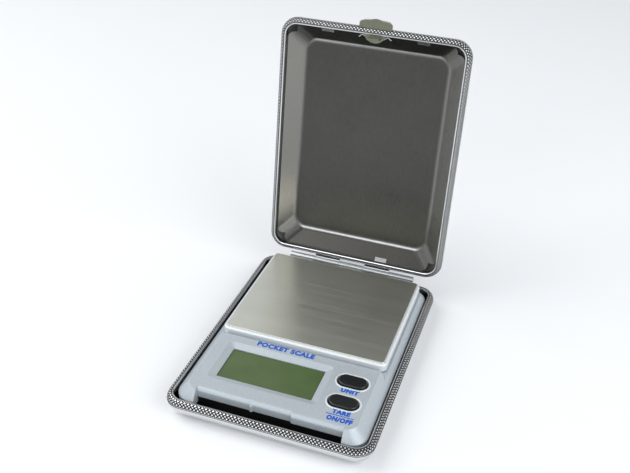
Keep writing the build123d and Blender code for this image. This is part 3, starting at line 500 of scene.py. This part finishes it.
def soft_sheet(name, colour, second_colour, cell_mm, relief_mm):
    """Felt, foam or rubber: matt, with fibres or cells of a real size."""
    material, tree, shader = new_material(name, roughness=0.95)
    fibre = grain(tree, cell_mm, detail=4.0, roughness=0.7)
    drifting_colour(tree, shader, fibre, colour, second_colour)
    engrave(tree, shader, fibre, relief_mm, strength=0.8)
    return material


def paint(material, *nodes):
    """Gives CAD nodes a material."""
    for name in nodes:
        node = frame["nodes"][name]
        node.data.materials.clear()
        node.data.materials.append(material)


# ------------------------------------------------------------------ knurled rims
def rim_path(corner):
    """Guide curve along the rim's outer outline, anticlockwise from above."""
    half_x, half_y = rim_high.x, rim_high.y
    handle = QUARTER_ARC_HANDLE * corner
    curve = bpy.data.curves.new("rim_path", "CURVE")
    curve.dimensions = "2D"
    curve.resolution_u = 32
    spline = curve.splines.new("BEZIER")
    corners = (
        ((half_x, corner - half_y), (half_x, half_y - corner), (0, 1)),
        ((half_x - corner, half_y), (corner - half_x, half_y), (-1, 0)),
        ((-half_x, half_y - corner), (-half_x, corner - half_y), (0, -1)),
        ((corner - half_x, -half_y), (half_x - corner, -half_y), (1, 0)),
    )
    spline.bezier_points.add(2 * len(corners) - 1)
    points = iter(spline.bezier_points)
    for start, end, run in corners:
        for place, side in ((start, -1), (end, 1)):
            point = next(points)
            point.co = (*place, 0)
            point.handle_left_type = point.handle_right_type = "FREE"
            step = Vector((*run, 0)) * handle
            straight = Vector((*end, 0)) - Vector((*start, 0))
            point.handle_left = point.co - (step if side < 0 else straight / 3)
            point.handle_right = point.co + (step if side > 0 else straight / 3)
    spline.use_cyclic_u = True
    guide = bpy.data.objects.new("rim_path", curve)
    bpy.context.collection.objects.link(guide)
    return guide, spline.calc_length(resolution=64)


def rim_cell(sizes, length):
    """One knurl cell's length of the rim bar, rounded beside the seam and open at both ends."""
    height = rim_high.z - rim_low.z
    deselect_all()
    bpy.ops.mesh.primitive_cube_add(
        size=1.0, location=(length / 2, -sizes.width / 2, rim_low.z + height / 2)
    )
    bar = bpy.context.object
    bar.scale = (length, sizes.width - 2 * sizes.depth, height - sizes.depth)
    bar.location.z -= sizes.depth / 2
    settle(bar)
    pick(bar, "FACE", lambda face: abs(face.normal.x) > 0.9)
    bpy.ops.mesh.delete(type="FACE")
    leave_edit()
    top = max(vertex.co.z for vertex in bar.data.vertices)
    outer = max(vertex.co.y for vertex in bar.data.vertices)
    inner = min(vertex.co.y for vertex in bar.data.vertices)

    def along_top(edge, y):
        ends = [bar.data.vertices[i].co for i in edge.vertices]
        return all(abs(end.y - y) < TINY and abs(end.z - top) < TINY for end in ends)

    for y, radius in ((outer, sizes.outer_round), (inner, sizes.inner_round)):
        pick(bar, "EDGE", lambda edge: along_top(edge, y))
        bpy.ops.mesh.bevel(offset=radius, segments=2, profile=0.5)
        leave_edit()
    return bar


def cut_knurl(ring, sizes):
    """Turns the ring's quads of the second material into diamond points with grooves between them."""
    # every quad is poked, and the old edges go, which leaves diamonds in staggered rows
    corners = len(ring.data.vertices)
    pick(ring, "FACE", lambda face: face.material_index == 1)
    bpy.ops.mesh.poke()
    leave_edit()
    sides = {}
    for face in ring.data.polygons:
        for key in face.edge_keys:
            sides.setdefault(key, []).append(face.material_index)
    pick(ring, "EDGE", lambda edge: max(edge.vertices) < corners and sides[edge.key] == [1, 1])
    bpy.ops.mesh.dissolve_edges(use_verts=False)
    leave_edit()
    pick(ring, "FACE", lambda face: face.material_index == 1)
    bpy.ops.mesh.inset(thickness=sizes.groove / 2, depth=0.0, use_individual=True)
    bpy.ops.mesh.inset(thickness=sizes.flank, depth=sizes.depth, use_individual=True)
    leave_edit()
    # the grooves take the third material, which carries painted shade
    for face in ring.data.polygons:
        if face.material_index == 1 and not face.select:
            face.material_index = 2
        face.use_smooth = False


def knurled_ring(sizes):
    """Rim bar swept round the case, with a diamond knurl on the round edge beside the seam."""
    guide, path_length = rim_path(sizes.corner)
    count = round(path_length / sizes.pitch)
    ring = rim_cell(sizes, path_length / count)
    for material in (plain_rim(), bright_knurl(), knurl_groove_painted_shade()):
        ring.data.materials.append(material)
    for face in ring.data.polygons:
        over_the_edge = face.normal.y > 0.1 and face.normal.z > 0.1
        face.material_index = 1 if over_the_edge else 0
    apply_modifier(
        ring, "ARRAY", count=count, relative_offset_displace=(1.0, 0.0, 0.0), use_merge_vertices=True,
        merge_threshold=TINY,
    )
    apply_modifier(ring, "CURVE", object=guide, deform_axis="POS_X")
    bpy.data.objects.remove(guide)
    pick(ring, "VERT", lambda vertex: True)
    bpy.ops.mesh.remove_doubles(threshold=5 * TINY)
    bpy.ops.mesh.normals_make_consistent(inside=False)
    leave_edit()
    cut_knurl(ring, sizes)
    return ring


def plain_rim():
    """Inner side and underside of the rim: plated steel with no knurl."""
    return polished_steel("plated_rim_steel", bpy.context.scene.scale_colours.steel, roughness=0.2)


def bright_knurl():
    """Tips of the knurl: plated steel, worn bright."""
    return polished_steel("plated_knurl_tips", bpy.context.scene.scale_colours.knurl, roughness=0.3)


def knurl_groove_painted_shade():
    """Grooves of the knurl: the same plating, darkened with painted shade, so that it hardly mirrors."""
    material, tree, shader = new_material("plated_knurl_grooves", metallic=0.3, roughness=0.6)
    colour = bpy.context.scene.scale_colours.knurl_groove_shade
    # painted shade in the grooves, a little uneven from place to place
    groove_shade = grain(tree, (2, 2, 2), detail=3.0)
    drifting_colour(tree, shader, groove_shade, shade(colour, 0.7), shade(colour, 1.8))
    return material


class SCALE_OT_knurled_rims(bpy.types.Operator):
    """Model the two knurled rims of the case"""

    bl_idname = "gram_scale.knurled_rims"
    bl_label = "Knurled rims"

    def execute(self, context):
        sizes = context.scene.scale_rims
        base_ring = knurled_ring(sizes)
        base_ring.name = "knurled_rim_base"
        lid_ring = copy_of(base_ring, "knurled_rim_lid")
        settle(lid_ring, lid_place())
        # slot for the clasp's plate, with twice as much room at its ends as above and below it
        low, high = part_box("clasp_tab")
        plate_width = high.x - low.x
        deselect_all()
        bpy.ops.mesh.primitive_cube_add(size=1.0)
        cutter = bpy.context.object
        cutter.scale = (
            plate_width + 4 * sizes.slot_gap, 4 * sizes.width, sizes.clasp_sheet + 2 * sizes.slot_gap
        )
        cutter.location = (0, rim_high.y, rim_low.z + sizes.clasp_lift + sizes.clasp_sheet / 2)
        settle(cutter)
        settle(cutter, lid_place())
        apply_modifier(lid_ring, "BOOLEAN", operation="DIFFERENCE", solver="EXACT", object=cutter)
        bpy.data.objects.remove(cutter)
        hand_over(base_ring, "base", "knurled_rim", "base_rim")
        hand_over(lid_ring, "lid", "knurled_rim", "lid_rim")
        return {"FINISHED"}


# ------------------------------------------------------------------ printed labels
def printed(name, words, size, width, centre):
    """Words printed on the deck: a thin raised film of ink, fitted to a width."""
    labels = bpy.context.scene.scale_labels
    deselect_all()
    bpy.ops.object.text_add(location=(0, 0, 0))
    text = bpy.context.object
    text.data.body = words
    text.data.size = size
    text.data.align_x = "CENTER"
    text.data.align_y = "CENTER"
    text.data.extrude = labels.ink / 2
    text.data.offset = labels.bold
    text.data.space_character = labels.letter_gap
    text.data.resolution_u = 4
    bpy.context.view_layer.update()
    text.scale = (width / text.dimensions.x, 1.0, 1.0)
    text.location = (*centre, deck_top + labels.ink / 2)
    bpy.ops.object.convert(target="MESH")
    text = bpy.context.object
    text.name = name
    settle(text)
    text.data.materials.clear()
    text.data.materials.append(blue_ink())
    hand_over(text, "base", "blue_ink")


def blue_ink():
    """Pad-printed ink: slightly uneven cover and a satin surface."""
    name = "pad_printed_ink"
    if name in bpy.data.materials:
        return bpy.data.materials[name]
    material, tree, shader = new_material(name, ior=1.5, roughness=0.45)
    colour = bpy.context.scene.scale_colours.ink
    cover = grain(tree, (0.5, 0.5, 0.5), detail=3.0)
    drifting_colour(tree, shader, cover, shade(colour, 0.9), shade(colour, 1.15))
    return material


class SCALE_OT_labels(bpy.types.Operator):
    """Print the words and the line on the deck"""

    bl_idname = "gram_scale.labels"
    bl_label = "Printed labels"

    def execute(self, context):
        labels = context.scene.scale_labels
        window = middle("display_glass")
        title_place = (window.x + labels.title_shift, window.y + labels.title_rise)
        printed("label_title", labels.title, labels.title_size, labels.title_width, title_place)
        key_x = middle("unit_key").x
        unit_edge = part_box("unit_key")[0].y
        tare_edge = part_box("tare_key")[0].y
        rows = (
            ("label_unit", labels.first_key, labels.unit_width, unit_edge - labels.word_drop, 1),
            ("label_tare", labels.second_key, labels.tare_width, tare_edge - labels.word_drop, 2),
            ("label_switch", labels.switch, labels.switch_width, tare_edge - labels.switch_drop, 3),
        )
        for name, words, width, y, row in rows:
            printed(name, words, labels.word_size, width, (key_x + row * labels.shift, y))
        # the line between the two words is a flat bar with rounded ends
        deselect_all()
        bpy.ops.mesh.primitive_cube_add(size=1.0)
        line = bpy.context.object
        line.name = "label_line"
        line.scale = (labels.line_length, labels.line_width, labels.ink)
        line.location = (key_x + 2 * labels.shift, tare_edge - labels.line_drop, deck_top + labels.ink / 2)
        settle(line)

        def upright(edge):
            ends = [line.data.vertices[i].co.z for i in edge.vertices]
            return abs(ends[0] - ends[1]) > labels.ink / 2

        end_round = 0.35 * labels.line_width
        pick(line, "EDGE", upright)
        bpy.ops.mesh.bevel(offset=end_round, segments=3)
        leave_edit()
        line.data.materials.append(blue_ink())
        hand_over(line, "base", "blue_ink")
        return {"FINISHED"}


# ------------------------------------------------------------------ lips round the keys
class SCALE_OT_key_lips(bpy.types.Operator):
    """Model the moulded lip round each key"""

    bl_idname = "gram_scale.key_lips"
    bl_label = "Key lips"

    def execute(self, context):
        sizes = context.scene.scale_lips
        low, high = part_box("unit_key")
        half_width = (high.y - low.y) / 2 - sizes.inset
        stretch = (high.x - low.x) / 2 - sizes.inset - half_width
        centre = middle("unit_key")
        deselect_all()
        bpy.ops.mesh.primitive_torus_add(
            major_radius=half_width, minor_radius=sizes.radius, major_segments=64, minor_segments=16,
            location=(0, 0, 0),
        )
        lip = bpy.context.object
        lip.scale = (1.0, 1.0, sizes.rise / sizes.radius)
        settle(lip)
        # the ring is pulled apart into a straight-sided slot shape
        for side in (-1, 1):
            pick(lip, "VERT", lambda vertex: vertex.co.x * side > 0)
            bpy.ops.transform.translate(value=(side * stretch, 0, 0))
            leave_edit()
        settle(lip, Matrix.Translation((centre.x, centre.y, deck_top)))
        take(lip)
        bpy.ops.object.shade_smooth()
        lip.name = "key_lip_unit"
        # the lip's paler silver is a painted highlight round the key
        lip.data.materials.append(silver_painted_highlight())
        second = copy_of(lip, "key_lip_tare")
        settle(second, Matrix.Translation(middle("tare_key") - centre))
        for piece in (lip, second):
            hand_over(piece, "base", "silver_plastic")
        return {"FINISHED"}


def silver_painted_highlight():
    """The housing's silver-filled ABS, glossier where the mould is polished, and lighter as a painted
    highlight.
    """
    colour = bpy.context.scene.scale_colours.carrier
    return moulded_plastic("polished_silver_abs", colour, roughness=0.24, glitter=0.2)


# ------------------------------------------------------------------ finishes of the carried-over pieces
class SCALE_OT_case_finish(bpy.types.Operator):
    """Give the metal case pieces their finishes"""

    bl_idname = "gram_scale.case_finish"
    bl_label = "Case finishes"

    def execute(self, context):
        colours = context.scene.scale_colours
        # painted shade: the base dish's inside is black where it lies in shadow
        dish = dish_painted_inside("lacquered_steel_dish", colours.steel, colours.black_and_painted_shade, middle("base_rim"))
        paint(dish, "base_shell")
        # painted light: the lid dish's inside is light grey, so that its shaded corners show mid-grey
        lid_dish = dish_painted_inside("primed_steel_dish", colours.steel, colours.painted_light_grey, middle("lid_rim"))
        paint(lid_dish, "lid_shell")
        hardware = polished_steel("plated_steel_hardware", colours.steel, roughness=0.18)
        paint(hardware, "base_hinge_knuckles", "lid_hinge_knuckles", "liner_clips")
        keeper = polished_steel("blackened_keeper", colours.black_and_painted_shade, roughness=0.5)
        paint(keeper, "clasp_keeper")
        wire = polished_steel("bright_steel_wire", shade(colours.steel, 0.9), roughness=0.22)
        paint(wire, "hinge_pin", "clasp_spring")
        across = (1.0, 0.0, 0.0)
        clasp = brushed_steel(
            "brushed_steel_clasp", colours.clasp, (0.2, 0.2, 20), across,
            roughness=0.3, anisotropic=0.4, contrast=0.08,
        )
        paint(clasp, "clasp_tab")
        # the open lid leans back, and its liner's lines and panel with it
        lean = lid_opening - math.pi / 2
        liner = brushed_steel(
            "brushed_stainless_liner", colours.liner, (0.3, 0.3, 40), across,
            roughness=0.3, anisotropic=0.6, turn=(lean, 0.0, 0.0), contrast=0.12,
        )
        panel_side = (0.0, -math.cos(lean), math.sin(lean))
        # painted light on the flaps, three times the liner's colour, and a painted highlight along the bends
        liner_painted_light(liner, panel_side, flap=shade(colours.liner, 3.0), bend=shade(colours.steel, 0.9))
        paint(liner, "lid_liner")
        return {"FINISHED"}


class SCALE_OT_module_finish(bpy.types.Operator):
    """Give the housing, keys, display and platform their finishes"""

    bl_idname = "gram_scale.module_finish"
    bl_label = "Module finishes"

    def execute(self, context):
        colours = context.scene.scale_colours
        silver = moulded_plastic("silver_filled_abs", colours.housing, roughness=0.42, glitter=0.35)
        paint(silver, "housing_top")
        pale = moulded_plastic("pale_silver_abs", colours.carrier, roughness=0.38, glitter=0.2)
        paint(pale, "platform_carrier")
        black = moulded_plastic("moulded_black_abs", colours.black, roughness=0.5)
        paint(
            black, "housing_bottom", "battery_door", "display_frame", "key_switches", "unit_plunger",
            "tare_plunger",
        )
        cap = moulded_plastic("satin_black_key_cap", colours.key, roughness=0.3, relief_mm=0.003)
        paint(cap, "unit_key", "tare_key")
        plate = brushed_steel(
            "brushed_stainless_plate", colours.plate, (60, 0.2, 0.2), (0.0, 1.0, 0.0),
            roughness=0.33, anisotropic=0.6, contrast=0.03,
        )
        paint(plate, "platform_plate")
        paint(display_cell(colours.display), "display_glass")
        return {"FINISHED"}


def display_cell(colour):
    """Liquid-crystal cell under a polariser: a smooth film over an olive ground with faint mottling."""
    material, tree, shader = new_material(
        "liquid_crystal_cell", ior=1.5, roughness=0.3, coat_weight=0.15, coat_roughness=0.08
    )
    mottle = grain(tree, (7, 7, 7))
    drifting_colour(tree, shader, mottle, shade(colour, 0.92), shade(colour, 1.06))
    return material


class SCALE_OT_inside_finish(bpy.types.Operator):
    """Give the pieces inside the module their finishes"""

    bl_idname = "gram_scale.inside_finish"
    bl_label = "Inside finishes"

    def execute(self, context):
        # name, two colours, size of the fibres or cells and their relief in millimetres, and the node
        soft_sheets = (
            ("needled_black_felt", "111213", "2a2b2d", (0.12, 1.2, 0.12), 0.05, "felt_pad"),
            ("closed_cell_foam", "2c2d2f", "47484a", (0.3, 0.3, 0.3), 0.08, "foam_pads"),
            ("layered_contact_rubber", "18181a", "5a5a60", (0.1, 4, 4), 0.01, "zebra_strip"),
            ("white_silicone_coating", "d9d8d2", "f0efea", (2, 2, 2), 0.05, "gauge_coating"),
            ("insulated_lead_cover", "7d1410", "a81d16", (3, 3, 3), 0.01, "load_cell_leads"),
        )
        for name, code, second_code, cell_mm, relief_mm, node in soft_sheets:
            first, second = hex_to_linear(code), hex_to_linear(second_code)
            paint(soft_sheet(name, first, second, cell_mm, relief_mm), node)
        # name, colour, roughness, relief in millimetres, and the node
        plastics = (
            ("solder_mask_green", "14532b", 0.3, 0.01, "main_board"),
            ("cured_black_resin", "0b0b0c", 0.2, 0.004, "chip_blob"),
            ("diffuse_reflector_film", "aab49a", 0.5, 0.006, "display_reflector"),
        )
        for name, code, roughness, relief_mm, node in plastics:
            paint(moulded_plastic(name, hex_to_linear(code), roughness, relief_mm), node)
        # name, colour, roughness, and the nodes
        screws = ("housing_screws", "load_cell_screws", "platform_screws", "overload_stop")
        metals = (
            ("zinc_plated_screws", "b9babc", 0.3, screws),
            ("black_oxide_screws", "2b2b2d", 0.35, ("board_screws",)),
            ("tinned_part_ends", "9f988a", 0.3, ("board_parts",)),
            ("nickel_plated_cells", "c9c6bf", 0.24, ("coin_cells",)),
            ("sprung_brass_strip", "c9a75a", 0.28, ("battery_contacts",)),
        )
        for name, code, roughness, nodes in metals:
            paint(polished_steel(name, hex_to_linear(code), roughness), *nodes)
        alloy = brushed_steel(
            "milled_aluminium_cell", hex_to_linear("c6c8ca"), (6, 0.2, 6), (0.0, 1.0, 0.0),
            roughness=0.32, anisotropic=0.4,
        )
        paint(alloy, "load_cell")
        return {"FINISHED"}


# ------------------------------------------------------------------ stage
def soft_box(name, place, aim, side, power):
    """A square studio light turned to a point."""
    lamp = bpy.data.lights.new(name, "AREA")
    lamp.size = side
    lamp.energy = power
    light = bpy.data.objects.new(name, lamp)
    light.location = place
    light.rotation_mode = "QUATERNION"
    light.rotation_quaternion = (Vector(aim) - Vector(place)).to_track_quat("-Z", "Y")
    bpy.context.collection.objects.link(light)


def lay_table(sizes, colour):
    """A pale painted table, far wider than the scale."""
    deselect_all()
    bpy.ops.mesh.primitive_plane_add(size=sizes.floor_size)
    floor = bpy.context.object
    floor.name = "floor"
    material, tree, shader = new_material("pale_table", roughness=0.6)
    drifting_colour(tree, shader, grain(tree, (400, 400, 400)), shade(colour, 0.985), colour)
    floor.data.materials.append(material)


def light_studio(scene, sizes):
    """Bright walls under a darker ceiling, and three square lights."""
    world = bpy.data.worlds.new("studio")
    world.use_nodes = True
    scene.world = world
    tree = world.node_tree
    backdrop = tree.nodes["Background"]
    backdrop.inputs["Color"].default_value = hex_to_linear("f7fafd")
    direction = add_node(tree, "ShaderNodeTexCoord").outputs["Generated"]
    height = add_node(tree, "ShaderNodeSeparateXYZ", None, {"Vector": direction}).outputs["Z"]
    brightness = add_node(
        tree, "ShaderNodeMapRange", {"To Min": sizes.horizon, "To Max": sizes.zenith}, {"Value": height}
    )
    tree.links.new(brightness.outputs["Result"], backdrop.inputs["Strength"])
    # name, place, side of the square and watts
    lights = (
        ("key_light", (-0.65, -0.1, 0.75), 0.8, sizes.key_power),
        ("fill_light", (0.75, -0.3, 0.5), 0.8, sizes.fill_power),
        ("front_light", (-0.2, -0.75, 0.42), 0.3, sizes.front_power),
    )
    aim = (0, 0.02, 0.02)
    for name, place, side, power in lights:
        soft_box(name, place, aim, side, power)


def place_camera(scene, sizes):
    """A camera at a turn, a height angle and a distance from the point it looks at, then rolled."""
    turn, rise = sizes.azimuth, sizes.elevation
    back = Vector((math.sin(turn) * math.cos(rise), -math.cos(turn) * math.cos(rise), math.sin(rise)))
    right = Vector((0, 0, 1)).cross(back).normalized()
    up = back.cross(right)
    rolled_right = right * math.cos(sizes.roll) + up * math.sin(sizes.roll)
    rolled_up = up * math.cos(sizes.roll) - right * math.sin(sizes.roll)
    place = Vector(sizes.look_at) + back * sizes.distance
    turned = Matrix((rolled_right, rolled_up, back)).transposed().to_4x4()
    lens = bpy.data.cameras.new("camera")
    lens.lens = sizes.lens
    lens.sensor_width = 36.0
    lens.clip_start = 0.01
    lens.clip_end = 20.0
    camera = bpy.data.objects.new("camera", lens)
    camera.matrix_world = Matrix.Translation(place) @ turned
    bpy.context.collection.objects.link(camera)
    scene.camera = camera


class SCALE_OT_stage(bpy.types.Operator):
    """Set up the table, the studio's light and the camera"""

    bl_idname = "gram_scale.stage"
    bl_label = "Stage"

    def execute(self, context):
        scene = context.scene
        lay_table(scene.scale_stage, scene.scale_colours.floor)
        light_studio(scene, scene.scale_stage)
        place_camera(scene, scene.scale_stage)
        scene.view_settings.view_transform = "Standard"
        return {"FINISHED"}


# ------------------------------------------------------------------ panel and registration
OPERATORS = (
    SCALE_OT_knurled_rims,
    SCALE_OT_labels,
    SCALE_OT_key_lips,
    SCALE_OT_case_finish,
    SCALE_OT_module_finish,
    SCALE_OT_inside_finish,
    SCALE_OT_stage,
)
GROUPS = {
    "scale_rims": RimSizes,
    "scale_labels": LabelSizes,
    "scale_lips": LipSizes,
    "scale_colours": FinishColours,
    "scale_stage": StageSizes,
}


class SCALE_PT_panel(bpy.types.Panel):
    """Sizes, colours and steps of the gram scale"""

    bl_idname = "SCALE_PT_panel"
    bl_label = "Gram scale"
    bl_space_type = "VIEW_3D"
    bl_region_type = "UI"
    bl_category = "Gram scale"

    def draw(self, context):
        for group_name, group in GROUPS.items():
            box = self.layout.box()
            settings = getattr(context.scene, group_name)
            for name in group.__annotations__:
                box.prop(settings, name)
        for step in OPERATORS:
            self.layout.operator(step.bl_idname)


def register():
    for group in (*GROUPS.values(), *OPERATORS, SCALE_PT_panel):
        bpy.utils.register_class(group)
    for group_name, group in GROUPS.items():
        setattr(bpy.types.Scene, group_name, PointerProperty(type=group))


def unregister():
    for group_name in GROUPS:
        delattr(bpy.types.Scene, group_name)
    for group in reversed((*GROUPS.values(), *OPERATORS, SCALE_PT_panel)):
        bpy.utils.unregister_class(group)


def main():
    register()
    bpy.ops.gram_scale.stage()
    bpy.ops.gram_scale.knurled_rims()
    bpy.ops.gram_scale.labels()
    bpy.ops.gram_scale.key_lips()
    bpy.ops.gram_scale.case_finish()
    bpy.ops.gram_scale.module_finish()
    bpy.ops.gram_scale.inside_finish()


if __name__ == "__main__":
    main()
